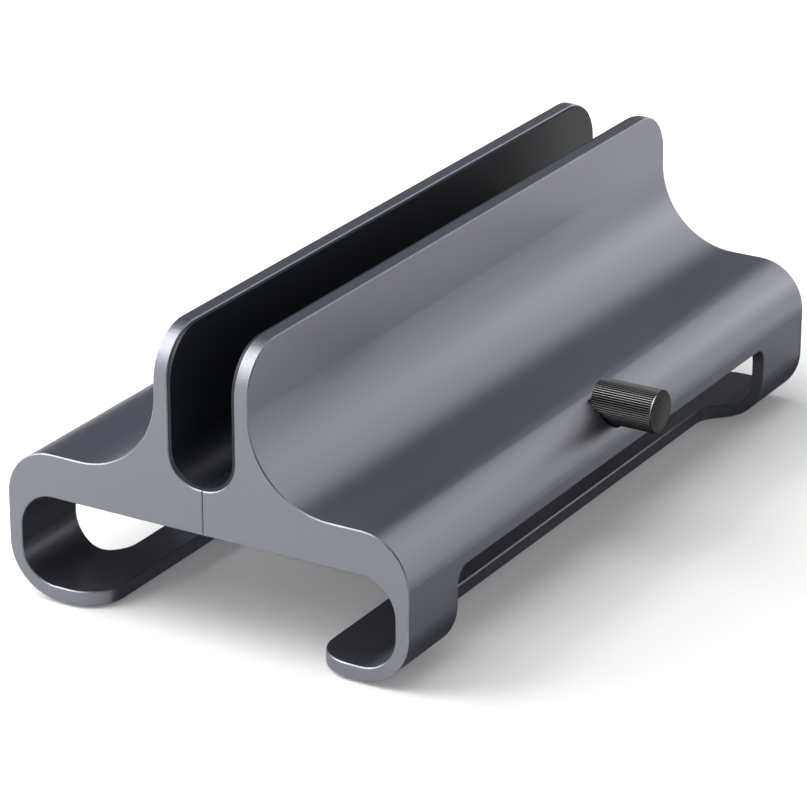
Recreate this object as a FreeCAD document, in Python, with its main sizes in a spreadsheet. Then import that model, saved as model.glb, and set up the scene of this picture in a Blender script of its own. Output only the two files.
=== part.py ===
import FreeCAD, Part
import math
import os
import Sketcher

# Vertical laptop stand: two mirrored halves of an aluminium section. They slide apart on two
# guide rods, and a knob with a lead screw sets the width of the slot between them.
# Lengths are in millimetres. X runs across the slot, Y along it, Z up.
# Every piece is drawn with the seam of the halves at x = 0, the middle of the length at y = 0
# and the underside of the metal at z = 0. The datum then moves the origin to the desk, at the
# middle of the whole footprint, knob included.

sizes = {
    # the extruded section
    "body_length": 160.0,
    "body_width": 86.0,
    "seam_gap": 0.1,
    "wall_height": 58.1,
    "wall_thickness": 2.9,
    "root_radius": 16.65,
    "shoulder_height": 29.35,
    "shoulder_radius": 9.7,
    "plate_underside": 20.75,
    "plate_inner_radius": 7.2,
    "side_thickness": 2.75,
    "side_bottom_radius": 10.4,
    "foot_thickness": 2.85,
    "foot_inner_radius": 7.15,
    "foot_width": 20.4,
    "edge_chamfer": 0.2,
    # what is milled from the section
    "wall_corner_radius": 9.6,
    "foot_corner_radius": 7.6,
    "leg_length": 17.6,
    "foot_strip_width": 8.5,
    "window_top": 17.2,
    "window_corner_radius": 3.2,
    "window_inner_radius": 6.1,
    # the slot and its liner
    "slot_closed": 13.0,
    "slot_open": 32.0,
    "slot_floor_rise": 0.2,
    "slot_radius": 6.7,
    "liner_thickness": 0.6,
    "liner_inset": 0.3,
    # fits
    "running_clearance": 0.05,
    "bore_clearance": 0.1,
    # the lead screw and the knob
    "screw_radius": 1.5,
    "screw_cover": 0.68,
    "neck_radius": 1.05,
    "thread_left": 2.0,
    "knob_radius": 4.23,
    "knob_length": 13.0,
    "knob_socket": 8.0,
    "knob_chamfer": 0.15,
    "knob_rim": 0.4,
    "knob_teeth": 56,
    "tooth_depth": 0.2,
    "tooth_width": 0.4,
    "dish_ball": 34.0,
    "dish_depth": 0.2,
    "notch_depth": 5.15,
    "notch_clearance": 0.57,
    "washer_radius": 3.2,
    "washer_thickness": 0.3,
    # the fork that holds the screw in the right half
    "fork_place": 20.0,
    "fork_thickness": 1.4,
    "fork_width": 7.0,
    "fork_corner": 0.8,
    "fork_grip": 1.3,
    "fork_gap_corner": 0.95,
    # the nut in the left half
    "nut_place": 12.5,
    "nut_radius": 3.0,
    "nut_above_screw": 3.7,
    "nut_slot_width": 1.0,
    "nut_slot_depth": 1.0,
    "insert_depth": 0.25,
    # the guide rods
    "rod_radius": 2.0,
    "rod_distance": 88.0,
    "rod_socket": 22.0,
    "rod_chamfer": 0.3,
    "bush_length": 10.95,
    "bush_wall": 1.0,
    "ring_width": 1.2,
    "ring_clearance": 0.2,
    "stop_clearance": 0.1,
    "bore_end_space": 0.8,
    "set_screw_place": 16.0,
    "set_screw_radius": 1.5,
    "hex_width": 1.5,
    "hex_depth": 1.2,
    # the rubber pads under the feet
    "pad_length": 18.0,
    "pad_width": 5.5,
    "pad_thickness": 1.0,
    "pad_recess": 0.4,
    "pad_corner": 2.0,
    "pad_end_inset": 4.0,
}

doc = FreeCAD.newDocument("LaptopStand")


# The sheet holds the sizes above, and every formula below ends in its cells.
def make_sheet():
    sheet = doc.addObject("Spreadsheet::Sheet", "Dims")
    for row, (name, value) in enumerate(sizes.items(), start=1):
        sheet.set(f"A{row}", name)
        sheet.set(f"B{row}", str(value))
        sheet.setAlias(f"B{row}", name)
    doc.recompute()
    return sheet


# A size together with the formula that the document keeps it by.
class Size:
    def __init__(self, value, formula):
        self.value = value
        self.formula = formula

    def __add__(self, other):
        other = sized(other)
        return Size(self.value + other.value, f"({self.formula} + {other.formula})")

    def __sub__(self, other):
        other = sized(other)
        return Size(self.value - other.value, f"({self.formula} - {other.formula})")

    def __mul__(self, factor):
        return Size(self.value * factor, f"({self.formula} * {factor})")

    def __truediv__(self, factor):
        return Size(self.value / factor, f"({self.formula} / {factor})")

    def __neg__(self):
        return Size(-self.value, f"(0 - {self.formula})")


def sized(value):
    if isinstance(value, Size):
        return value
    return Size(float(value), str(float(value)))


def size(name):
    return Size(sheet.get(name), f"Dims.{name}")


def bind(item, **properties):
    for name, value in properties.items():
        item.setExpression(name.replace("__", "."), sized(value).formula)


sheet = make_sheet()
zero = sized(0)
beyond = sized(1)
tolerance = 0.0001

half_length = size("body_length") / 2
half_width = size("body_width") / 2
seam = size("seam_gap") / 2
slot_side = size("slot_closed") / 2 + size("liner_thickness")
slot_floor = size("shoulder_height") + size("slot_floor_rise")
wall_outer = slot_side + size("wall_thickness")
side_inner = half_width - size("side_thickness")
foot_tip = half_width - size("foot_width")
strip_edge = foot_tip + size("foot_strip_width")
window_end = half_length - size("leg_length")
travel = size("slot_open") - size("slot_closed")

screw_height = size("shoulder_height") - size("screw_cover") - size("screw_radius") - size("bore_clearance")
notch_wall = half_width - size("notch_depth")
knob_back = notch_wall + size("running_clearance") + size("washer_thickness")
knob_end = knob_back + size("knob_length")
screw_reach = size("nut_place") + travel + size("thread_left")
nut_bottom = size("plate_underside") + size("insert_depth")
nut_top = screw_height + size("nut_above_screw")
fork_top = screw_height + size("fork_grip")

rod_height = (size("plate_underside") + size("shoulder_height")) / 2
bush_radius = size("rod_radius") + size("running_clearance") + size("bush_wall")
ring_face = size("bush_length") + travel + size("stop_clearance")
rod_reach = ring_face + size("ring_width")

pad_stand_off = size("pad_thickness") - size("pad_recess")
pad_middle = foot_tip + size("foot_strip_width") / 2
pad_centre = half_length - size("pad_end_inset") - size("pad_length") / 2

datum_x = -(knob_end - half_width) / 2
datum_z = pad_stand_off


# Puts a piece at a place counted from the seam, the middle of the length and the metal's underside.
def place(item, x=zero, y=zero, z=zero):
    bind(item, Placement__Base__x=datum_x + x, Placement__Base__y=sized(y), Placement__Base__z=datum_z + z)
    return item


def make_body(label, x=zero, y=zero, z=zero):
    body = doc.addObject("PartDesign::Body", label)
    body.Label = label
    return place(body, x, y, z)


def make_sketch(body, plane, name, offset=None):
    sketch = body.newObject("Sketcher::SketchObject", name)
    support = [item for item in body.Origin.OriginFeatures if item.Role == plane][0]
    sketch.AttachmentSupport = [(support, "")]
    sketch.MapMode = "FlatFace"
    if offset is not None:
        bind(sketch, AttachmentOffset__Base__z=offset)
    return sketch


def name_dimension(sketch, index, name, value):
    sketch.renameConstraint(index, name)
    bind(sketch, **{f"Constraints__{name}": value})


# Draws a closed outline of upright and level lines from its corners (x, y) or (x, y, radius).
# Every line has its distance from the origin as a dimension, and every arc its radius.
def draw_outline(sketch, corners):
    points = [FreeCAD.Vector(corner[0].value, corner[1].value, 0) for corner in corners]
    radii = [corner[2] if len(corner) > 2 else None for corner in corners]
    count = len(corners)
    ways = [(points[(i + 1) % count] - points[i]).normalize() for i in range(count)]
    lines = []
    for i in range(count):
        after = (i + 1) % count
        start = points[i]
        end = points[after]
        if radii[i]:
            start = start + ways[i] * radii[i].value
        if radii[after]:
            end = end - ways[i] * radii[after].value
        lines.append(sketch.addGeometry(Part.LineSegment(start, end), False))
        upright = abs(ways[i].y) > 0.5
        sketch.addConstraint(Sketcher.Constraint("Vertical" if upright else "Horizontal", lines[i]))
        position = corners[i][0] if upright else corners[i][1]
        if abs(position.value) < tolerance:
            axis = -2 if upright else -1
            sketch.addConstraint(Sketcher.Constraint("PointOnObject", lines[i], 1, axis))
        else:
            kind = "DistanceX" if upright else "DistanceY"
            index = sketch.addConstraint(Sketcher.Constraint(kind, -1, 1, lines[i], 1, position.value))
            name_dimension(sketch, index, f"line_{i}", position)
    for i in range(count):
        before = lines[i - 1]
        if not radii[i]:
            sketch.addConstraint(Sketcher.Constraint("Coincident", before, 2, lines[i], 1))
            continue
        radius = radii[i].value
        way_in = ways[i - 1]
        way_out = ways[i]
        centre = points[i] - way_in * radius + way_out * radius
        left_turn = way_in.cross(way_out).z > 0
        first = -way_out if left_turn else way_in
        angle = math.atan2(first.y, first.x)
        circle = Part.Circle(centre, FreeCAD.Vector(0, 0, 1), radius)
        arc = sketch.addGeometry(Part.ArcOfCircle(circle, angle, angle + math.pi / 2), False)
        entry, leave = (1, 2) if left_turn else (2, 1)
        sketch.addConstraint(Sketcher.Constraint("Tangent", before, 2, arc, entry))
        sketch.addConstraint(Sketcher.Constraint("Tangent", arc, leave, lines[i], 1))
        index = sketch.addConstraint(Sketcher.Constraint("Radius", arc, radius))
        name_dimension(sketch, index, f"radius_{i}", radii[i])
    return sketch


# Draws a closed outline of slanted lines, with the place of each corner as its dimensions.
def draw_facets(sketch, corners):
    count = len(corners)
    points = [FreeCAD.Vector(x.value, y.value, 0) for x, y in corners]
    lines = [sketch.addGeometry(Part.LineSegment(points[i], points[(i + 1) % count]), False)
             for i in range(count)]
    for i, (x, y) in enumerate(corners):
        sketch.addConstraint(Sketcher.Constraint("Coincident", lines[i - 1], 2, lines[i], 1))
        for kind, axis, position in (("DistanceX", -2, x), ("DistanceY", -1, y)):
            if abs(position.value) < tolerance:
                sketch.addConstraint(Sketcher.Constraint("PointOnObject", lines[i], 1, axis))
                continue
            index = sketch.addConstraint(Sketcher.Constraint(kind, -1, 1, lines[i], 1, position.value))
            name_dimension(sketch, index, f"{kind.lower()}_{i}", position)
    return sketch


# Draws a circle whose centre is on the sketch's upright axis.
def draw_circle(sketch, radius, height=zero):
    centre = FreeCAD.Vector(0, height.value, 0)
    circle = sketch.addGeometry(Part.Circle(centre, FreeCAD.Vector(0, 0, 1), radius.value), False)
    if abs(height.value) < tolerance:
        sketch.addConstraint(Sketcher.Constraint("Coincident", circle, 3, -1, 1))
    else:
        sketch.addConstraint(Sketcher.Constraint("PointOnObject", circle, 3, -2))
        index = sketch.addConstraint(Sketcher.Constraint("DistanceY", -1, 1, circle, 3, height.value))
        name_dimension(sketch, index, "height", height)
    index = sketch.addConstraint(Sketcher.Constraint("Radius", circle, radius.value))
    name_dimension(sketch, index, "radius", radius)
    return sketch


# A pad that takes the length itself, or is set evenly about the sketch's plane.
def pad(body, sketch, name, length, even=False):
    feature = body.newObject("PartDesign::Pad", name)
    feature.Profile = sketch
    feature.SideType = "Symmetric" if even else "One side"
    bind(feature, Length=length)
    doc.recompute()
    return feature


# A pocket that must take material away: its direction is the sketch's normal unless even.
def pocket(body, sketch, name, length, even=False):
    before = body.Tip.Shape.Volume
    feature = body.newObject("PartDesign::Pocket", name)
    feature.Profile = sketch
    feature.SideType = "Symmetric" if even else "One side"
    feature.Reversed = not even
    bind(feature, Length=length)
    doc.recompute()
    if feature.Shape.Volume > before - tolerance:
        raise RuntimeError(f"{name} cuts nothing")
    return feature


def edges_where(body, test):
    return [f"Edge{i}" for i, edge in enumerate(body.Tip.Shape.Edges, start=1) if test(edge)]


def dress(body, kind, name, edges, **properties):
    base = body.Tip
    feature = body.newObject(f"PartDesign::{kind}", name)
    feature.Base = (base, edges)
    bind(feature, **properties)
    doc.recompute()
    return feature


def near(value, target):
    return abs(value - target.value) < tolerance


def box_of(edge):
    return edge.BoundBox


# Two faces meet smoothly on an edge where their normals agree, as beside a fillet.
def is_smooth(body, edge):
    faces = body.Tip.Shape.ancestorsOfType(edge, Part.Face)
    middle = edge.valueAt((edge.FirstParameter + edge.LastParameter) / 2)
    normals = [face.normalAt(*face.Surface.parameter(middle)) for face in faces]
    return len(normals) < 2 or normals[0].getAngle(normals[1]) < 0.1


# Half of the stand, before its bores: the section, its rounded corners and the side window.
def make_half_blank():
    body = make_body("half_blank")
    section = make_sketch(body, "XZ_Plane", "section")
    draw_outline(section, [
        (seam, size("plate_underside")),
        (side_inner, size("plate_underside"), size("plate_inner_radius")),
        (side_inner, size("foot_thickness"), size("foot_inner_radius")),
        (foot_tip, size("foot_thickness")),
        (foot_tip, zero),
        (half_width, zero, size("side_bottom_radius")),
        (half_width, size("shoulder_height"), size("shoulder_radius")),
        (wall_outer, size("shoulder_height"), size("root_radius")),
        (wall_outer, size("wall_height")),
        (slot_side, size("wall_height")),
        (slot_side, slot_floor, size("slot_radius")),
        (seam, slot_floor),
    ])
    pad(body, section, "length_of_section", half_length * 2, even=True)

    wall_corners = edges_where(body, lambda edge: near(box_of(edge).ZMin, size("wall_height"))
                               and near(abs(box_of(edge).YMin), half_length)
                               and box_of(edge).YLength < tolerance)
    dress(body, "Fillet", "wall_corners", wall_corners, Radius=size("wall_corner_radius"))
    foot_corners = edges_where(body, lambda edge: near(box_of(edge).XMax, foot_tip)
                               and near(abs(box_of(edge).YMin), half_length)
                               and box_of(edge).YLength < tolerance)
    dress(body, "Fillet", "foot_corners", foot_corners, Radius=size("foot_corner_radius"))

    ends = edges_where(body, lambda edge: near(abs(box_of(edge).YMin), half_length)
                       and box_of(edge).YLength < tolerance
                       and box_of(edge).XLength + box_of(edge).ZLength > size("edge_chamfer").value
                       and not is_smooth(body, edge))
    wall_top = edges_where(body, lambda edge: near(box_of(edge).ZMax, size("wall_height"))
                           and box_of(edge).XLength < tolerance)
    foot_edge = edges_where(body, lambda edge: near(box_of(edge).XMin, foot_tip)
                            and box_of(edge).ZLength < tolerance
                            and box_of(edge).YLength > tolerance)
    dress(body, "Chamfer", "broken_edges", ends + wall_top + foot_edge, Size=size("edge_chamfer"))

    side_view = make_sketch(body, "YZ_Plane", "window_side")
    draw_outline(side_view, [
        (-window_end, size("side_bottom_radius")),
        (window_end, size("side_bottom_radius")),
        (window_end, size("window_top"), size("window_corner_radius")),
        (-window_end, size("window_top"), size("window_corner_radius")),
    ])
    pocket(body, side_view, "window_in_side", half_width + beyond)
    plan = make_sketch(body, "XY_Plane", "window_plan")
    draw_outline(plan, [
        (strip_edge, -window_end, size("window_inner_radius")),
        (half_width + beyond, -window_end),
        (half_width + beyond, window_end),
        (strip_edge, window_end, size("window_inner_radius")),
    ])
    pocket(body, plan, "window_in_foot", size("side_bottom_radius"))
    rim = edges_where(body, lambda edge: box_of(edge).XMin > strip_edge.value - tolerance
                      and max(abs(box_of(edge).YMin), abs(box_of(edge).YMax)) < window_end.value + tolerance
                      and box_of(edge).ZMax < size("window_top").value + tolerance
                      and not is_smooth(body, edge))
    dress(body, "Chamfer", "window_rim", rim, Size=size("edge_chamfer"))
    return body


# The liner of one half: a strip of even thickness against the slot's side and floor.
def make_half_liner():
    body = make_body("right_slot_liner")
    thickness = size("liner_thickness")
    outer_radius = size("slot_radius")
    top = size("wall_height") - size("liner_inset")
    section = make_sketch(body, "XZ_Plane", "liner_section")
    draw_outline(section, [
        (seam, slot_floor),
        (slot_side, slot_floor, outer_radius),
        (slot_side, top),
        (slot_side - thickness, top),
        (slot_side - thickness, slot_floor + thickness, outer_radius - thickness),
        (seam, slot_floor + thickness),
    ])
    pad(body, section, "length_of_liner", half_length * 2 - size("liner_inset") * 2, even=True)
    corners = edges_where(body, lambda edge: near(box_of(edge).ZMin, top)
                          and box_of(edge).YLength < tolerance)
    dress(body, "Fillet", "liner_corners", corners, Radius=size("wall_corner_radius") - size("liner_inset"))
    return body


# A round piece about the X axis at (y, z), from its corners (x, radius).
def turn(label, corners, y=zero, z=zero):
    body = make_body(label, zero, y, z)
    profile = make_sketch(body, "XZ_Plane", f"{label}_profile")
    draw_outline(profile, corners)
    feature = body.newObject("PartDesign::Revolution", f"{label}_turned")
    feature.Profile = profile
    feature.ReferenceAxis = (profile, ["H_Axis"])
    feature.Angle = 360
    doc.recompute()
    return body


def tube(start, end, outer, inner):
    return [(start, inner), (end, inner), (end, outer), (start, outer)]


def round_edges_at(body, x, radius):
    return edges_where(body, lambda edge: near(box_of(edge).XMin, x) and near(box_of(edge).XMax, x)
                       and near(box_of(edge).ZLength / 2, radius))


# The screw, from its threaded end in the left half to its end in the knob, with the fork's neck.
def make_screw():
    radius = size("screw_radius")
    neck_start = size("fork_place") - size("running_clearance")
    neck_end = size("fork_place") + size("fork_thickness") + size("running_clearance")
    end = knob_back + size("knob_socket")
    return turn("lead_screw", [
        (-screw_reach, zero),
        (end, zero),
        (end, radius),
        (neck_end, radius),
        (neck_end, size("neck_radius")),
        (neck_start, size("neck_radius")),
        (neck_start, radius),
        (-screw_reach, radius),
    ], z=screw_height)


# The knob, with a blind socket for the screw, a shallow dish in its end and teeth all round.
def make_knob():
    radius = size("knob_radius")
    body = turn("adjusting_knob", [
        (knob_back, size("screw_radius")),
        (knob_back + size("knob_socket"), size("screw_radius")),
        (knob_back + size("knob_socket"), zero),
        (knob_end, zero),
        (knob_end, radius),
        (knob_back, radius),
    ], z=screw_height)
    rim = round_edges_at(body, knob_end, radius)
    dress(body, "Chamfer", "knob_edge", rim, Size=size("knob_chamfer"))
    dish = body.newObject("PartDesign::SubtractiveSphere", "dish")
    bind(dish, Radius=size("dish_ball"), Placement__Base__x=knob_end - size("dish_depth") + size("dish_ball"))
    doc.recompute()

    # the space between two teeth is a V, drawn up to twice its depth to clear the surface
    tooth = make_sketch(body, "YZ_Plane", "tooth_space", offset=knob_back - beyond)
    draw_facets(tooth, [
        (zero, radius - size("tooth_depth")),
        (size("tooth_width"), radius + size("tooth_depth")),
        (-size("tooth_width"), radius + size("tooth_depth")),
    ])
    space = pocket(body, tooth, "tooth_space_cut", beyond + size("knob_length") - size("knob_rim"))
    pattern = body.newObject("PartDesign::PolarPattern", "teeth")
    pattern.Originals = [space]
    axis = [item for item in body.Origin.OriginFeatures if item.Role == "X_Axis"][0]
    pattern.Axis = (axis, [""])
    pattern.Angle = 360
    bind(pattern, Occurrences=size("knob_teeth"))
    body.Tip = pattern
    doc.recompute()
    return body


# The washer between the knob and the wall of its notch.
def make_washer():
    start = notch_wall + size("running_clearance")
    inner = size("screw_radius") + size("bore_clearance")
    return turn("thrust_washer", tube(start, knob_back, size("washer_radius"), inner), z=screw_height)


# The fork straddles the neck of the screw and holds it in the right half.
def make_fork():
    body = make_body("retaining_fork")
    half = size("fork_width") / 2
    gap = size("neck_radius") + size("running_clearance")
    gap_floor = screw_height - gap
    outline = make_sketch(body, "YZ_Plane", "fork_outline", offset=size("fork_place"))
    draw_outline(outline, [
        (-half, nut_bottom),
        (half, nut_bottom),
        (half, fork_top, size("fork_corner")),
        (gap, fork_top),
        (gap, gap_floor, size("fork_gap_corner")),
        (-gap, gap_floor, size("fork_gap_corner")),
        (-gap, fork_top),
        (-half, fork_top, size("fork_corner")),
    ])
    pad(body, outline, "fork_thickness_pad", size("fork_thickness"))
    return body


# The nut is an upright barrel with a cross bore for the screw and a slot in its lower end.
def make_nut():
    body = make_body("screw_nut", x=-size("nut_place"), z=nut_bottom)
    circle = make_sketch(body, "XY_Plane", "nut_circle")
    draw_circle(circle, size("nut_radius"))
    pad(body, circle, "nut_barrel", nut_top - nut_bottom)
    bore = make_sketch(body, "YZ_Plane", "nut_bore")
    draw_circle(bore, size("screw_radius") + size("running_clearance"), screw_height - nut_bottom)
    pocket(body, bore, "nut_cross_bore", size("nut_radius") * 2 + beyond, even=True)
    slot = make_sketch(body, "XZ_Plane", "nut_slot")
    slot_half = size("nut_slot_width") / 2
    draw_outline(slot, [
        (-slot_half, zero),
        (slot_half, zero),
        (slot_half, size("nut_slot_depth")),
        (-slot_half, size("nut_slot_depth")),
    ])
    pocket(body, slot, "nut_driver_slot", size("nut_radius") * 2 + beyond, even=True)
    return body


def make_rod(end_name, y):
    radius = size("rod_radius")
    body = turn(f"guide_rod_{end_name}", [
        (-rod_reach, zero),
        (size("rod_socket"), zero),
        (size("rod_socket"), radius),
        (-rod_reach, radius),
    ], y, rod_height)
    rims = round_edges_at(body, -rod_reach, radius) + round_edges_at(body, size("rod_socket"), radius)
    dress(body, "Chamfer", f"rod_ends_{end_name}", rims, Size=size("rod_chamfer"))
    return body


def make_bush(end_name, y):
    inner = size("rod_radius") + size("running_clearance")
    corners = tube(-size("bush_length"), -seam, bush_radius, inner)
    return turn(f"rod_bush_{end_name}", corners, y, rod_height)


def make_ring(end_name, y):
    corners = tube(-rod_reach, -ring_face, bush_radius, size("rod_radius"))
    return turn(f"stop_ring_{end_name}", corners, y, rod_height)


# A short screw from below that holds a guide rod in the right half.
def make_set_screw(end_name, y):
    body = make_body(f"rod_set_screw_{end_name}", size("set_screw_place"), y, nut_bottom)
    circle = make_sketch(body, "XY_Plane", f"set_screw_circle_{end_name}")
    draw_circle(circle, size("set_screw_radius"))
    pad(body, circle, f"set_screw_shank_{end_name}", rod_height - size("rod_radius") - nut_bottom)
    hexagon = make_sketch(body, "XY_Plane", f"set_screw_hexagon_{end_name}")
    half = size("hex_width") / 2
    flat = half * math.tan(math.pi / 6)
    tip = half / math.cos(math.pi / 6)
    draw_facets(hexagon, [
        (tip, zero),
        (flat, half),
        (-flat, half),
        (-tip, zero),
        (-flat, -half),
        (flat, -half),
    ])
    pocket(body, hexagon, f"set_screw_socket_{end_name}", size("hex_depth"))
    return body


# A rubber pad under one end of a foot, half sunk in its recess.
def draw_pad_outline(body, name, offset=None):
    half_pad = size("pad_length") / 2
    half_wide = size("pad_width") / 2
    corner = size("pad_corner")
    sketch = make_sketch(body, "XY_Plane", name, offset)
    return draw_outline(sketch, [
        (-half_wide, -half_pad, corner),
        (half_wide, -half_pad, corner),
        (half_wide, half_pad, corner),
        (-half_wide, half_pad, corner),
    ])


def make_foot_pad(side_name, end_name, x, y):
    name = f"foot_pad_{side_name}_{end_name}"
    body = make_body(name, x, y, -pad_stand_off)
    outline = draw_pad_outline(body, f"{name}_outline")
    pad(body, outline, f"{name}_sheet", size("pad_thickness"))
    return body


# A round hole along X or Z from a start point, as a tool to cut with.
def drill(name, radius, length, x, y, z, along_x=True, backward=False):
    tool = doc.addObject("Part::Cylinder", name)
    if along_x:
        tool.Placement.Rotation = FreeCAD.Rotation(FreeCAD.Vector(0, 1, 0), -90 if backward else 90)
    bind(tool, Radius=radius, Height=length)
    return place(tool, x, y, z)


# The slot from below that takes the retaining fork.
def make_fork_slot():
    tool = doc.addObject("Part::Box", "fork_slot")
    start = size("plate_underside") - beyond
    height = fork_top + size("bore_clearance") - start
    bind(tool, Length=size("fork_thickness"), Width=size("fork_width"), Height=height)
    return place(tool, size("fork_place"), -size("fork_width") / 2, start)


def make_pad_recess(side_name, end_name, x, y):
    name = f"pad_recess_{side_name}_{end_name}"
    body = make_body(name, x, y, -beyond)
    outline = draw_pad_outline(body, f"{name}_outline")
    pad(body, outline, f"{name}_depth", size("pad_recess") + beyond)
    return body


def cut_away(label, blank, tools):
    group = doc.addObject("Part::MultiFuse", f"{label}_tools")
    group.Shapes = tools
    piece = doc.addObject("Part::Cut", label)
    piece.Label = label
    piece.Base = blank
    piece.Tool = group
    doc.recompute()
    return piece


def mirror(label, source):
    copy = doc.addObject("Part::Mirroring", label)
    copy.Label = label
    copy.Source = source
    copy.Normal = FreeCAD.Vector(1, 0, 0)
    bind(copy, Base__x=datum_x)
    doc.recompute()
    return copy


end_ways = {"front": -1, "rear": 1}
side_ways = {"left": -1, "right": 1}
rod_places = {end: size("rod_distance") / 2 * way for end, way in end_ways.items()}
pad_places = {
    (side, end): (pad_middle * side_ways[side], pad_centre * end_ways[end])
    for side in side_ways
    for end in end_ways
}

blank = make_half_blank()
mirrored_blank = mirror("left_half_blank", blank)
screw_bore = size("screw_radius") + size("bore_clearance")

# The right half: the screw passes through it, the rods and the fork are fixed in it.
right_tools = [
    drill("right_screw_bore", screw_bore, notch_wall + beyond * 2, -beyond, zero, screw_height),
    drill("knob_notch", size("knob_radius") + size("notch_clearance"), size("notch_depth") + beyond,
          notch_wall, zero, screw_height),
    make_fork_slot(),
]
below_plate = size("plate_underside") - beyond
for end, y in rod_places.items():
    right_tools += [
        drill(f"rod_hole_{end}", size("rod_radius"), size("rod_socket") + beyond, -beyond, y, rod_height),
        drill(f"set_screw_hole_{end}", size("set_screw_radius"), rod_height - below_plate,
              size("set_screw_place"), y, below_plate, along_x=False),
    ]
right_tools += [make_pad_recess("right", end, *pad_places["right", end]) for end in end_ways]
right_body = cut_away("right_body", blank, right_tools)

# The left half: the nut, the bushes and the room for the screw's end and the stop rings.
left_tools = [
    drill("left_screw_bore", screw_bore, screw_reach + beyond * 2, beyond, zero, screw_height, backward=True),
    drill("nut_hole", size("nut_radius"), nut_top + size("insert_depth") - below_plate,
          -size("nut_place"), zero, below_plate, along_x=False),
]
for end, y in rod_places.items():
    left_tools += [
        drill(f"bush_hole_{end}", bush_radius, size("bush_length") + beyond,
              beyond, y, rod_height, backward=True),
        drill(f"ring_hole_{end}", bush_radius + size("ring_clearance"),
              rod_reach + size("bore_end_space") - size("bush_length"), -size("bush_length"), y, rod_height,
              backward=True),
    ]
left_tools += [make_pad_recess("left", end, *pad_places["left", end]) for end in end_ways]
left_body = cut_away("left_body", mirrored_blank, left_tools)

right_liner = make_half_liner()
pieces = [right_body, left_body, right_liner, mirror("left_slot_liner", right_liner)]
pieces += [make_screw(), make_knob(), make_washer(), make_fork(), make_nut()]
for end, y in rod_places.items():
    pieces += [make_rod(end, y), make_bush(end, y), make_ring(end, y), make_set_screw(end, y)]
for (side, end), (x, y) in pad_places.items():
    pieces.append(make_foot_pad(side, end, x, y))

doc.recompute()
for item in doc.Objects:
    if "Invalid" in item.State or "Error" in item.State:
        raise RuntimeError(f"{item.Label} failed: {item.getStatusString()}")
    if item.TypeId == "Sketcher::SketchObject" and not item.FullyConstrained:
        raise RuntimeError(f"{item.Label} has a free size")
for piece in pieces:
    if piece.Shape.isNull() or not piece.Shape.isValid():
        raise RuntimeError(f"{piece.Label} has no valid shape")

os.makedirs("parts", exist_ok=True)
for piece in pieces:
    piece.Shape.exportStep(f"parts/{piece.Label}.step")
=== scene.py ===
import math

import bmesh
import bpy
from mathutils import Euler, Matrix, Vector


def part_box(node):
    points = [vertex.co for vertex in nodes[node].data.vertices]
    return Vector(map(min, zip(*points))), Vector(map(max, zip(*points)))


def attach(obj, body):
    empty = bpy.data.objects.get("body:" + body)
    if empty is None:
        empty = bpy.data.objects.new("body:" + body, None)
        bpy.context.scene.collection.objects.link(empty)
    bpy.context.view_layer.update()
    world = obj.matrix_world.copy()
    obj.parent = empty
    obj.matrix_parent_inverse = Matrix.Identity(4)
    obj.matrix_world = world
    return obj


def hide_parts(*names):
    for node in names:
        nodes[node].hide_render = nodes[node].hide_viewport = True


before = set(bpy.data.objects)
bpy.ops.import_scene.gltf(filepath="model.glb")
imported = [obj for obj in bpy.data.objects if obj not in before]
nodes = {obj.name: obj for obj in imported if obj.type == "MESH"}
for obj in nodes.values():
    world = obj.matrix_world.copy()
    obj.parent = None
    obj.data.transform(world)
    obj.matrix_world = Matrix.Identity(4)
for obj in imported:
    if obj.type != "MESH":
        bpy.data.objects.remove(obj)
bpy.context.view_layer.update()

mm = 0.001
white = (1, 1, 1, 1)
black = (0, 0, 0, 1)
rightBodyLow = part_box("right_body")[0]
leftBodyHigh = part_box("left_body")[1]
knobLow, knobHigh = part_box("adjusting_knob")
screwLow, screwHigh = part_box("lead_screw")
seamX = (leftBodyHigh.x + rightBodyLow.x) / 2    # the plane between the two halves
metalBottom = rightBodyLow.z


def addObject(name, data):
    thing = bpy.data.objects.new(name, data)
    bpy.context.scene.collection.objects.link(thing)
    return thing


# Shader helpers

def newTree(name):
    material = bpy.data.materials.new(name)
    material.use_nodes = True
    tree = material.node_tree
    shader = tree.nodes["Principled BSDF"]
    return material, tree, shader


def addNode(tree, kind, label, **settings):
    node = tree.nodes.new(kind)
    node.label = label
    for name, value in settings.items():
        setattr(node, name, value)
    return node


# Gives a socket a plain value, or links another socket to it
def feed(tree, socket, value):
    if hasattr(value, "links"):
        tree.links.new(value, socket)
    else:
        socket.default_value = value


def addMath(tree, label, operation, *values):
    node = addNode(tree, "ShaderNodeMath", label, operation=operation)
    for socket, value in zip(node.inputs, values):
        feed(tree, socket, value)
    return node.outputs[0]


# Brings a value from between low and high to between 0 and 1, with soft ends
def addRange(tree, label, value, low, high):
    node = addNode(tree, "ShaderNodeMapRange", label, interpolation_type="SMOOTHSTEP")
    node.inputs["From Min"].default_value = low
    node.inputs["From Max"].default_value = high
    tree.links.new(value, node.inputs["Value"])
    return node.outputs["Result"]


def addNoise(tree, label, place, scale, detail):
    node = addNode(tree, "ShaderNodeTexNoise", label)
    node.inputs["Detail"].default_value = detail
    feed(tree, node.inputs["Scale"], scale)
    tree.links.new(place, node.inputs["Vector"])
    return node.outputs["Fac"]


def splitVector(tree, label, vector):
    node = addNode(tree, "ShaderNodeSeparateXYZ", label)
    tree.links.new(vector, node.inputs[0])
    return node.outputs


def scaleColor(tree, label, color, share):
    node = addNode(tree, "ShaderNodeVectorMath", label, operation="SCALE")
    feed(tree, node.inputs[0], color)
    feed(tree, node.inputs["Scale"], share)
    return node.outputs[0]


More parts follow.
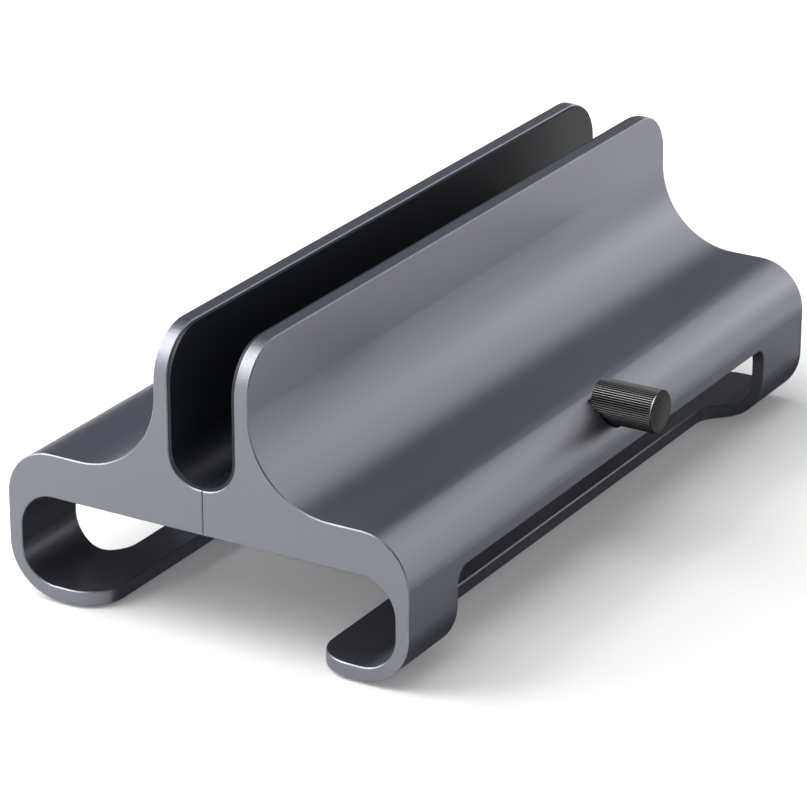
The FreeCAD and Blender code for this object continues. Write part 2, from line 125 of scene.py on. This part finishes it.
def mixColors(tree, label, share, first, second, blend="MIX"):
    node = addNode(tree, "ShaderNodeMix", label, data_type="RGBA", blend_type=blend)
    for name, value in (("Factor_Float", share), ("A_Color", first), ("B_Color", second)):
        feed(tree, next(item for item in node.inputs if item.identifier == name), value)
    return next(item for item in node.outputs if item.identifier == "Result_Color")


def newGroup(name, inputs, outputs):
    tree = bpy.data.node_groups.new(name, "ShaderNodeTree")
    for label, value in inputs.items():
        kind = "NodeSocketColor" if isinstance(value, tuple) else "NodeSocketFloat"
        socket = tree.interface.new_socket(name=label, in_out="INPUT", socket_type=kind)
        socket.default_value = value
    for label in outputs:
        kind = "NodeSocketColor" if label == "Color" else "NodeSocketFloat"
        tree.interface.new_socket(name=label, in_out="OUTPUT", socket_type=kind)
    source = addNode(tree, "NodeGroupInput", "values")
    sink = addNode(tree, "NodeGroupOutput", "results")
    return tree, source.outputs, sink.inputs


def placeGroup(tree, group, **values):
    node = addNode(tree, "ShaderNodeGroup", group.name, node_tree=group)
    for name, value in values.items():
        node.inputs[name.replace("_", " ")].default_value = value
    return node.outputs


grainValues = dict(fineDetail=2, fineShare=0.5, cloudScale=45, cloudDetail=3, middle=0.75)


# Fine blasted grain: a height for the bump, and a small change of shade and of roughness
def buildGrainGroup():
    tree, given, made = newGroup(
        "blastedGrain",
        {"Grain Size": 0.0003, "Shade Change": 0.06, "Roughness": 0.35, "Roughness Change": 0.05,
         "Color": (0.3, 0.3, 0.3, 1)},
        ["Color", "Roughness", "Height"],
    )
    place = addNode(tree, "ShaderNodeTexCoord", "object place").outputs["Object"]
    grainsPerMetre = addMath(tree, "grains per metre", "DIVIDE", 1, given["Grain Size"])
    fine = addNoise(tree, "grains", place, grainsPerMetre, grainValues["fineDetail"])
    cloud = addNoise(tree, "cloudy shade", place, grainValues["cloudScale"], grainValues["cloudDetail"])
    both = addMath(tree, "grain and cloud", "MULTIPLY_ADD", fine, grainValues["fineShare"], cloud)
    spread = addMath(tree, "about zero", "SUBTRACT", both, grainValues["middle"])
    shade = addMath(tree, "shade", "MULTIPLY_ADD", spread, given["Shade Change"], 1)
    tree.links.new(scaleColor(tree, "shaded color", given["Color"], shade), made["Color"])
    rough = addMath(tree, "roughness", "MULTIPLY_ADD", spread, given["Roughness Change"],
                    given["Roughness"])
    tree.links.new(rough, made["Roughness"])
    tree.links.new(fine, made["Height"])
    return tree


cutValues = dict(facingFrom=0.03, facingTo=0.2, detail=3)


# Lines that a cutter leaves, straight along X on the faces that were milled across the section
def buildCutGroup():
    tree, given, made = newGroup("cutterLines", {"Line Width": 0.0002, "Line Length": 0.01},
                                 ["Milled", "Line"])
    place = addNode(tree, "ShaderNodeTexCoord", "object place").outputs
    facing = splitVector(tree, "facing", place["Normal"])
    endOn = addMath(tree, "how far it faces an end", "ABSOLUTE", facing["Y"])
    milled = addRange(tree, "milled", endOn, cutValues["facingFrom"], cutValues["facingTo"])
    tree.links.new(milled, made["Milled"])
    across = addMath(tree, "lines per metre", "DIVIDE", 1, given["Line Width"])
    along = addMath(tree, "breaks per metre", "DIVIDE", 1, given["Line Length"])
    stretch = addNode(tree, "ShaderNodeCombineXYZ", "stretch")
    for axis, count in (("X", along), ("Y", across), ("Z", across)):
        tree.links.new(count, stretch.inputs[axis])
    stretched = addNode(tree, "ShaderNodeVectorMath", "stretched place", operation="MULTIPLY")
    tree.links.new(place["Object"], stretched.inputs[0])
    tree.links.new(stretch.outputs[0], stretched.inputs[1])
    lines = addNoise(tree, "lines", stretched.outputs[0], 1, cutValues["detail"])
    tree.links.new(lines, made["Line"])
    return tree


ringValues = dict(facingFrom=0.8, facingTo=0.95, detail=3)


# Rings that a lathe leaves round an axis along X, with the distance from that axis
def buildTurnedGroup():
    tree, given, made = newGroup("turnedRings", {"Ring Width": 0.0002, "Axis Height": 0.0},
                                 ["Distance", "Ring", "Flat End"])
    place = addNode(tree, "ShaderNodeTexCoord", "object place").outputs
    spot = splitVector(tree, "spot", place["Object"])
    rise = addMath(tree, "height over the axis", "SUBTRACT", spot["Z"], given["Axis Height"])
    sideSquared = addMath(tree, "side squared", "MULTIPLY", spot["Y"], spot["Y"])
    squares = addMath(tree, "squares", "MULTIPLY_ADD", rise, rise, sideSquared)
    distance = addMath(tree, "distance", "SQRT", squares)
    tree.links.new(distance, made["Distance"])
    rings = addNode(tree, "ShaderNodeTexNoise", "rings", noise_dimensions="1D")
    rings.inputs["Scale"].default_value = 1
    rings.inputs["Detail"].default_value = ringValues["detail"]
    ringCount = addMath(tree, "ring count", "DIVIDE", distance, given["Ring Width"])
    tree.links.new(ringCount, rings.inputs["W"])
    tree.links.new(rings.outputs["Fac"], made["Ring"])
    facing = splitVector(tree, "facing", place["Normal"])
    endOn = addMath(tree, "how far it faces along", "ABSOLUTE", facing["X"])
    flatEnd = addRange(tree, "flat end", endOn, ringValues["facingFrom"], ringValues["facingTo"])
    tree.links.new(flatEnd, made["Flat End"])
    return tree


edgeValues = dict(samples=4, bendFrom=0.01, bendTo=0.12, patchDetail=4, patchFrom=0.45, patchTo=0.62)


# A mask of small rubbed places on the edges
def buildEdgeGroup():
    tree, given, made = newGroup("edgeWear", {"Edge Width": 0.0003, "Patch Size": 0.004}, ["Worn"])
    soft = addNode(tree, "ShaderNodeBevel", "softened edges", samples=edgeValues["samples"])
    tree.links.new(given["Edge Width"], soft.inputs["Radius"])
    sharp = addNode(tree, "ShaderNodeNewGeometry", "sharp edges")
    agree = addNode(tree, "ShaderNodeVectorMath", "agreement", operation="DOT_PRODUCT")
    tree.links.new(soft.outputs["Normal"], agree.inputs[0])
    tree.links.new(sharp.outputs["Normal"], agree.inputs[1])
    bend = addMath(tree, "turned away", "SUBTRACT", 1, agree.outputs["Value"])
    edge = addRange(tree, "edge", bend, edgeValues["bendFrom"], edgeValues["bendTo"])
    place = addNode(tree, "ShaderNodeTexCoord", "object place").outputs["Object"]
    patchesPerMetre = addMath(tree, "patches per metre", "DIVIDE", 1, given["Patch Size"])
    patches = addNoise(tree, "patches", place, patchesPerMetre, edgeValues["patchDetail"])
    patch = addRange(tree, "patch", patches, edgeValues["patchFrom"], edgeValues["patchTo"])
    tree.links.new(addMath(tree, "worn", "MULTIPLY", edge, patch), made["Worn"])
    return tree


dustValues = dict(color=(0.45, 0.44, 0.42, 1), flatFrom=0.3, flatTo=1.0, speckSize=0.0005, speckDetail=2,
                  speckFrom=0.55, speckTo=0.75, driftScale=60, driftDetail=2)


# Dust that settles on what faces up
def buildDustGroup():
    tree, given, made = newGroup("settledDust", {"Amount": 0.1, "Speck Size": 0.0004}, ["Dust"])
    place = addNode(tree, "ShaderNodeTexCoord", "object place").outputs
    facing = splitVector(tree, "facing", place["Normal"])
    flat = addRange(tree, "lies flat", facing["Z"], dustValues["flatFrom"], dustValues["flatTo"])
    specksPerMetre = addMath(tree, "specks per metre", "DIVIDE", 1, given["Speck Size"])
    specks = addNoise(tree, "specks", place["Object"], specksPerMetre, dustValues["speckDetail"])
    drift = addNoise(tree, "drifts", place["Object"], dustValues["driftScale"], dustValues["driftDetail"])
    speck = addRange(tree, "speck", specks, dustValues["speckFrom"], dustValues["speckTo"])
    cover = addMath(tree, "cover", "MULTIPLY", speck, drift)
    cover = addMath(tree, "cover on flat", "MULTIPLY", cover, flat)
    tree.links.new(addMath(tree, "dust", "MULTIPLY", cover, given["Amount"]), made["Dust"])
    return tree


grainGroup = buildGrainGroup()
cutGroup = buildCutGroup()
turnedGroup = buildTurnedGroup()
edgeGroup = buildEdgeGroup()
dustGroup = buildDustGroup()
print("shader groups done")


# Materials, whose lengths are in metres

bumpShare = 0.2    # height of the bump, as a share of the grain's size


# Starts a material with its grain, and gives back what the next layers go on
def startMaterial(name, look):
    material, tree, shader = newTree(name)
    shader.inputs["Metallic"].default_value = look["metallic"]
    shader.inputs["Specular IOR Level"].default_value = look.get("specular", 0.5)
    grain = placeGroup(tree, grainGroup, Grain_Size=look["grainSize"], Shade_Change=look["shadeChange"],
                       Roughness=look["roughness"], Roughness_Change=look["roughnessChange"],
                       Color=(*look["color"], 1))
    return material, tree, shader, grain


def finishMaterial(tree, shader, look, color, roughness, height):
    bump = addNode(tree, "ShaderNodeBump", "surface bump")
    bump.inputs["Strength"].default_value = look["bump"]
    bump.inputs["Distance"].default_value = look["grainSize"] * bumpShare
    tree.links.new(color, shader.inputs["Base Color"])
    tree.links.new(roughness, shader.inputs["Roughness"])
    tree.links.new(height, bump.inputs["Height"])
    tree.links.new(bump.outputs["Normal"], shader.inputs["Normal"])


def addDust(tree, look, color):
    dust = placeGroup(tree, dustGroup, Amount=look["dust"], Speck_Size=dustValues["speckSize"])
    return mixColors(tree, "dusty", dust["Dust"], color, dustValues["color"])


anodisedLook = dict(
    color=(0.234, 0.237, 0.267), metallic=1.0, roughness=0.38, roughnessChange=0.05, shadeChange=0.06,
    grainSize=0.00022, bump=0.25, dust=0.05,
    milledRoughness=0.43, milledToneAndShade=(0.885, 0.895, 0.885),
    lineWidth=0.00022, lineLength=0.004, lineRoughness=0.34, lineShade=0.1, lineBump=2.5,
    edgeWidth=0.00025, edgeShine=0.35, rubbedColor=(0.5, 0.5, 0.53, 1), rubbedRoughness=-0.06,
)


# Blasted and anodised, with the cutter's lines on the milled ends, a tone on those ends that is partly
# their finish and partly painted shade, and faintly rubbed edges
def anodisedMaterial(name, look):
    material, tree, shader, grain = startMaterial(name, look)
    cut = placeGroup(tree, cutGroup, Line_Width=look["lineWidth"], Line_Length=look["lineLength"])
    worn = placeGroup(tree, edgeGroup, Edge_Width=look["edgeWidth"])["Worn"]
    smoother = look["milledRoughness"] - look["roughness"] - look["lineRoughness"] / 2
    lineRough = addMath(tree, "line roughness", "MULTIPLY_ADD", cut["Line"], look["lineRoughness"],
                        smoother)
    rough = addMath(tree, "milled roughness", "MULTIPLY_ADD", lineRough, cut["Milled"], grain["Roughness"])
    rough = addMath(tree, "rubbed roughness", "MULTIPLY_ADD", worn, look["rubbedRoughness"], rough)
    lineHeight = addMath(tree, "line height", "MULTIPLY", cut["Line"], look["lineBump"])
    height = addMath(tree, "all heights", "MULTIPLY_ADD", lineHeight, cut["Milled"], grain["Height"])
    lineShade = addMath(tree, "line shade", "MULTIPLY_ADD", cut["Line"], look["lineShade"],
                        1 - look["lineShade"] / 2)
    # The milled ends' own slightly greener tone, with painted shade that darkens them
    milledToneAndShadeColor = scaleColor(tree, "lined tone and shade", look["milledToneAndShade"], lineShade)
    color = mixColors(tree, "milled color", cut["Milled"], grain["Color"], milledToneAndShadeColor, blend="MULTIPLY")
    shine = addMath(tree, "rubbed share", "MULTIPLY", worn, look["edgeShine"])
    color = mixColors(tree, "rubbed edges", shine, color, look["rubbedColor"])
    finishMaterial(tree, shader, look, addDust(tree, look, color), rough, height)
    return material


knobLook = dict(
    color=(0.218, 0.222, 0.222), metallic=1.0, roughness=0.4, roughnessChange=0.05, shadeChange=0.08,
    grainSize=0.0002, bump=0.2, ringWidth=0.00018, ringBump=2.5,
    crestDepth=0.02 * mm, paintedValleyShade=0.12, paintedEndShade=0.54, grazingTint=(0.05, 0.05, 0.05, 1),
)


# Turned and anodised, with painted shade between the teeth and on the flat end, and lathe rings on the end
def knobMaterial(name, look):
    material, tree, shader, grain = startMaterial(name, look)
    shader.inputs["Specular Tint"].default_value = look["grazingTint"]
    knobRadius = (knobHigh.y - knobLow.y) / 2
    turned = placeGroup(tree, turnedGroup, Ring_Width=look["ringWidth"],
                        Axis_Height=(knobHigh.z + knobLow.z) / 2)
    # Painted shade: only the tooth crests keep the full colour, and the flanks and valleys are darkened
    crest = addRange(tree, "tooth crest", turned["Distance"], knobRadius - look["crestDepth"], knobRadius)
    paintedToothShade = addMath(tree, "painted tooth shade", "MULTIPLY_ADD", crest, 1 - look["paintedValleyShade"],
                        look["paintedValleyShade"])
    # Painted shade: the flat end is darker than the teeth
    paintedEndShare = addMath(tree, "painted end shade", "MULTIPLY", turned["Flat End"], look["paintedEndShade"])
    sideShare = addMath(tree, "side share", "SUBTRACT", 1, turned["Flat End"])
    shade = addMath(tree, "shade", "MULTIPLY_ADD", paintedToothShade, sideShare, paintedEndShare)
    color = scaleColor(tree, "shaded color", grain["Color"], shade)
    ringHeight = addMath(tree, "ring height", "MULTIPLY", turned["Ring"], look["ringBump"])
    height = addMath(tree, "all heights", "MULTIPLY_ADD", ringHeight, turned["Flat End"], grain["Height"])
    finishMaterial(tree, shader, look, color, grain["Roughness"], height)
    return material


plainLooks = {
    "blackSilicone": dict(color=(0.0102, 0.0122, 0.0175), metallic=0.0, roughness=0.46, specular=0.33,
                          roughnessChange=0.08, shadeChange=0.2, grainSize=0.00018, bump=0.3, dust=0.03),
    "footRubber": dict(color=(0.012, 0.012, 0.013), metallic=0.0, roughness=0.75, roughnessChange=0.1,
                       shadeChange=0.3, grainSize=0.00035, bump=0.5, dust=0.05),
    "groundSteel": dict(color=(0.62, 0.62, 0.63), metallic=1.0, roughness=0.22, roughnessChange=0.08,
                        shadeChange=0.05, grainSize=0.0001, bump=0.1),
    "blackSteel": dict(color=(0.03, 0.03, 0.033), metallic=0.6, roughness=0.45, roughnessChange=0.1,
                       shadeChange=0.2, grainSize=0.00015, bump=0.2),
    "turnedBrass": dict(color=(0.68, 0.48, 0.2), metallic=1.0, roughness=0.28, roughnessChange=0.08,
                        shadeChange=0.08, grainSize=0.0001, bump=0.12),
    "nylon": dict(color=(0.72, 0.7, 0.64), metallic=0.0, roughness=0.5, roughnessChange=0.05,
                  shadeChange=0.04, grainSize=0.0003, bump=0.15),
}


# Rubber, steel, brass and nylon: a grain, and dust where the look has some
def plainMaterial(name, look):
    material, tree, shader, grain = startMaterial(name, look)
    color = addDust(tree, look, grain["Color"]) if "dust" in look else grain["Color"]
    finishMaterial(tree, shader, look, color, grain["Roughness"], grain["Height"])
    return material


materials = {
    "anodisedAluminium": anodisedMaterial("anodisedAluminium", anodisedLook),
    "knobAluminium": knobMaterial("knobAluminium", knobLook),
}
for lookName, plainLook in plainLooks.items():
    materials[lookName] = plainMaterial(lookName, plainLook)

nodeLooks = {
    "anodisedAluminium": ["right_body", "left_body"],
    "knobAluminium": ["adjusting_knob"],
    "blackSilicone": ["right_slot_liner", "left_slot_liner"],
    "footRubber": ["foot_pad_left_front", "foot_pad_left_rear", "foot_pad_right_front",
                   "foot_pad_right_rear"],
    "groundSteel": ["lead_screw", "guide_rod_front", "guide_rod_rear", "stop_ring_front", "stop_ring_rear"],
    "blackSteel": ["retaining_fork", "rod_set_screw_front", "rod_set_screw_rear"],
    "turnedBrass": ["screw_nut", "rod_bush_front", "rod_bush_rear"],
    "nylon": ["thrust_washer"],
}
for lookName, members in nodeLooks.items():
    for member in members:
        mesh = nodes[member].data
        mesh.materials.clear()
        mesh.materials.append(materials[lookName])
print("materials done")


# The lead screw's thread, which the solids leave out

screw = dict(
    pitch=0.5 * mm, threadDepth=0.3 * mm, crestShare=0.2, threadEnd=8.0 * mm, threadSteps=24,
    neckStart=15.85 * mm, neckEnd=17.35 * mm, neckDepth=0.45 * mm, shankSteps=32,
    overlap=0.3 * mm,                # how far the shank starts inside the thread
    mergeDistance=0.001 * mm,
    cutMargin=0.0001 * mm,
)


# Joins points into one chain of edges, each given as a distance along X and a radius
def addChain(shape, points, axisHeight):
    corners = [shape.verts.new((along, 0, axisHeight + radius)) for along, radius in points]
    return corners + [shape.edges.new(pair) for pair in zip(corners, corners[1:])]


def closeEnds(shape):
    bmesh.ops.remove_doubles(shape, verts=shape.verts, dist=screw["mergeDistance"])
    bmesh.ops.holes_fill(shape, edges=[edge for edge in shape.edges if edge.is_boundary], sides=0)
    bmesh.ops.recalc_face_normals(shape, faces=shape.faces)


def buildThread(shape, start, end, radius, axisHeight):
    pitch, depth, crest = screw["pitch"], screw["threadDepth"], screw["crestShare"] / 2
    wave = ((0, radius), (crest, radius), (0.5 - crest / 2, radius - depth),
            (0.5 + crest / 2, radius - depth), (1 - crest, radius))
    count = math.ceil((end - start) / pitch) + 2
    points = [(start + pitch * (turn - 2 + share), high)
              for turn in range(count + 1) for share, high in wave]
    bmesh.ops.spin(shape, geom=addChain(shape, points, axisHeight), cent=(0, 0, axisHeight), axis=(1, 0, 0),
                   dvec=(pitch / screw["threadSteps"], 0, 0), angle=math.tau, steps=screw["threadSteps"])
    bmesh.ops.remove_doubles(shape, verts=shape.verts, dist=screw["mergeDistance"])
    for place, way in ((start, -1), (end, 1)):
        bmesh.ops.bisect_plane(shape, geom=shape.verts[:] + shape.edges[:] + shape.faces[:],
                               dist=screw["cutMargin"], plane_co=(place, 0, 0), plane_no=(way, 0, 0),
                               clear_outer=True)
    closeEnds(shape)


def buildShank(shape, start, end, radius, axisHeight):
    neck = radius - screw["neckDepth"]
    points = ((start, 0.0), (start, radius - screw["threadDepth"]), (start + screw["threadDepth"], radius),
              (screw["neckStart"], radius), (screw["neckStart"], neck), (screw["neckEnd"], neck),
              (screw["neckEnd"], radius), (end, radius), (end, 0.0))
    bmesh.ops.spin(shape, geom=addChain(shape, points, axisHeight), cent=(0, 0, axisHeight), axis=(1, 0, 0),
                   angle=math.tau, steps=screw["shankSteps"], use_merge=True)
    closeEnds(shape)


def buildScrew():
    radius = (screwHigh.y - screwLow.y) / 2
    axisHeight = (screwHigh.z + screwLow.z) / 2
    whole = bpy.data.meshes.new("threadedScrew")
    both = bmesh.new()
    for build, start, end in ((buildThread, screwLow.x, screw["threadEnd"]),
                              (buildShank, screw["threadEnd"] - screw["overlap"], screwHigh.x)):
        shape = bmesh.new()
        build(shape, start, end, radius, axisHeight)
        part = bpy.data.meshes.new("screwPart")
        shape.to_mesh(part)
        shape.free()
        both.from_mesh(part)
        bpy.data.meshes.remove(part)
    both.to_mesh(whole)
    both.free()
    piece = addObject("threadedScrew", whole)
    whole.materials.append(materials["groundSteel"])
    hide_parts("lead_screw")
    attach(piece, "adjuster")


buildScrew()
print("threaded screw done")


# Studio: floor, world, lamps, dark cards and the camera

studio = dict(
    floorSize=6.0,
    floorColor=(0.92, 0.92, 0.92, 1),
    floorRoughness=0.9,
    floorGlow=0.125,
    leftPaintedLight=0.15,          # painted light that lifts the floor's shadow to white on the side that the light comes from
    leftPaintedLightFrom=-0.047,
    leftPaintedLightTo=-0.075,
    ambient=0.37,
    aimHeight=0.03,         # where lamps and cards point, over the floor
)


def addPanel(name, width, length):
    mesh = bpy.data.meshes.new(name)
    shape = bmesh.new()
    bmesh.ops.create_grid(shape, x_segments=1, y_segments=1, size=0.5)
    bmesh.ops.scale(shape, verts=shape.verts, vec=(width, length, 1))
    shape.to_mesh(mesh)
    shape.free()
    return addObject(name, mesh)


def buildFloor():
    floor = addPanel("floor", studio["floorSize"], studio["floorSize"])
    material, tree, shader = newTree("paleFloor")
    shader.inputs["Base Color"].default_value = studio["floorColor"]
    shader.inputs["Roughness"].default_value = studio["floorRoughness"]
    shader.inputs["Specular IOR Level"].default_value = 0
    rays = addNode(tree, "ShaderNodeLightPath", "ray kind").outputs
    seen = addMath(tree, "camera or mirror ray", "MAXIMUM", rays["Is Camera Ray"], rays["Is Glossy Ray"])
    place = addNode(tree, "ShaderNodeTexCoord", "floor place").outputs["Object"]
    spot = splitVector(tree, "spot", place)
    # Painted light: the floor glows more to the left of the stand, lifting the stand's shadow there
    left = addRange(tree, "painted light left of the stand", spot["X"], studio["leftPaintedLightFrom"], studio["leftPaintedLightTo"])
    glow = addMath(tree, "glow", "MULTIPLY_ADD", left, studio["leftPaintedLight"], studio["floorGlow"])
    shader.inputs["Emission Color"].default_value = white
    tree.links.new(addMath(tree, "seen glow", "MULTIPLY", seen, glow), shader.inputs["Emission Strength"])
    floor.data.materials.append(material)


def buildWorld():
    world = bpy.data.worlds.new("studioWorld")
    bpy.context.scene.world = world
    world.use_nodes = True
    tree = world.node_tree
    background = tree.nodes["Background"]
    background.inputs["Color"].default_value = white
    rays = addNode(tree, "ShaderNodeLightPath", "ray kind").outputs
    mirror = addMath(tree, "mirror or glass ray", "MAXIMUM", rays["Is Glossy Ray"],
                     rays["Is Transmission Ray"])
    seen = addMath(tree, "camera, mirror or glass ray", "MAXIMUM", rays["Is Camera Ray"], mirror)
    strength = addMath(tree, "strength", "MULTIPLY_ADD", seen, 1 - studio["ambient"], studio["ambient"])
    tree.links.new(strength, background.inputs["Strength"])


# Places a lamp or card round to the right from the object's rear end and up from the floor, in degrees
def aim(thing, around, up, distance):
    turn, rise = math.radians(around), math.radians(up)
    way = Vector((math.sin(turn) * math.cos(rise), math.cos(turn) * math.cos(rise), math.sin(rise)))
    thing.location = Vector((0, 0, studio["aimHeight"])) + way * distance
    thing.rotation_euler = way.to_track_quat("Z", "Y").to_euler()


# Reflections see only the mirrored lamps, and matt surfaces only the others
lamps = {
    "keyLamp": dict(around=238, up=44, distance=1.1, size=(0.75, 1.2), power=15.6, mirrored=True),
    "lowLamp": dict(around=238, up=24, distance=1.1, size=(0.6, 0.3), power=1.1, mirrored=True),
    "rearLamp": dict(around=4, up=10, distance=1.1, size=(0.7, 0.3), power=1.9, mirrored=True),
    "topLamp": dict(around=200, up=80, distance=1.2, size=(1.0, 1.0), power=5.4, mirrored=False),
    "leftLamp": dict(around=248, up=36, distance=1.2, size=(1.15, 1.05), power=17.7, mirrored=False),
}


def buildLamps():
    for name, lamp in lamps.items():
        light = bpy.data.lights.new(name, "AREA")
        light.shape = "RECTANGLE"
        light.size, light.size_y = lamp["size"]
        light.energy = lamp["power"]
        holder = addObject(name, light)
        holder.visible_glossy = lamp["mirrored"]
        holder.visible_diffuse = not lamp["mirrored"]
        aim(holder, lamp["around"], lamp["up"], lamp["distance"])


# Cards that only reflections see. The two that lie on the floor are the stand's painted shadow as
# reflections see it, and the last two are painted shade standing in the rear mouth under the plates and in
# the left window.
cards = {
    "rearLowCard": dict(around=322, up=17, distance=1.3, size=(1.5, 0.85), glow=(0.24, 0.255, 0.3, 1)),
    "rearHighCard": dict(around=319, up=53, distance=1.31, size=(1.34, 0.95), glow=(0.03, 0.04, 0.065, 1)),
    # Painted shadow: the floor under and beside the stand, darker as reflections see it
    "underShadowCard": dict(lies=(-0.004, 0.012, 0.0003), size=(0.102, 0.175), glow=(0.07, 0.075, 0.09, 1)),
    "besideShadowCard": dict(lies=(0.0635, 0.033, 0.0003), size=(0.033, 0.217), glow=(0.29, 0.3, 0.32, 1)),
    "rightCard": dict(around=128, up=28, distance=1.5, size=(1.9, 1.9), glow=(0.05, 0.06, 0.08, 1)),
    # Painted shade: dark cards in the rear mouth and the left window, seen in reflections inside the loops
    "rearMouthShadeCard": dict(lies=(0.0115, 0.0795, 0.0105), tilt=(90, 0), size=(0.055, 0.0195),
                          glow=(0.085, 0.088, 0.097, 1)),
    "leftWindowShadeCard": dict(lies=(-0.0456, -0.043, 0.0088), tilt=(0, 90), size=(0.0165, 0.032),
                           glow=(0.05, 0.052, 0.058, 1)),
}


def buildCards():
    for name, card in cards.items():
        panel = addPanel(name, *card["size"])
        material, tree, shader = newTree(name)
        shader.inputs["Base Color"].default_value = black
        shader.inputs["Roughness"].default_value = 1
        shader.inputs["Specular IOR Level"].default_value = 0
        shader.inputs["Emission Color"].default_value = card["glow"]
        shader.inputs["Emission Strength"].default_value = 1
        panel.data.materials.append(material)
        panel.visible_camera = False
        panel.visible_diffuse = False
        panel.visible_shadow = False
        if "lies" in card:
            panel.location = card["lies"]
            panel.rotation_euler = [math.radians(angle) for angle in (*card.get("tilt", (0, 0)), 0)]
        else:
            aim(panel, card["around"], card["up"], card["distance"])


# The camera's place was worked out from the object's own edges in the photograph
view = dict(
    yaw=30.66,
    pitch=22.47,
    distance=0.7806,
    aimHeight=0.035,        # over the underside of the metal
    sideShift=-0.004659,
    upShift=-0.015666,
    sensor=36.0,
    lens=179.21,
    clipStart=0.01,
)


def buildCamera():
    lens = bpy.data.cameras.new("photoCamera")
    lens.sensor_fit = "HORIZONTAL"
    lens.sensor_width = view["sensor"]
    lens.lens = view["lens"]
    lens.clip_start = view["clipStart"]
    camera = addObject("photoCamera", lens)
    turn = Euler((math.radians(90 - view["pitch"]), 0, math.radians(view["yaw"])))
    offset = Vector((view["sideShift"], view["upShift"], view["distance"]))
    offset.rotate(turn)
    camera.rotation_euler = turn
    camera.location = Vector((seamX, 0, metalBottom + view["aimHeight"])) + offset
    bpy.context.scene.camera = camera


buildFloor()
buildWorld()
buildLamps()
buildCards()
buildCamera()
bpy.context.scene.view_settings.view_transform = "Standard"
print("studio done")
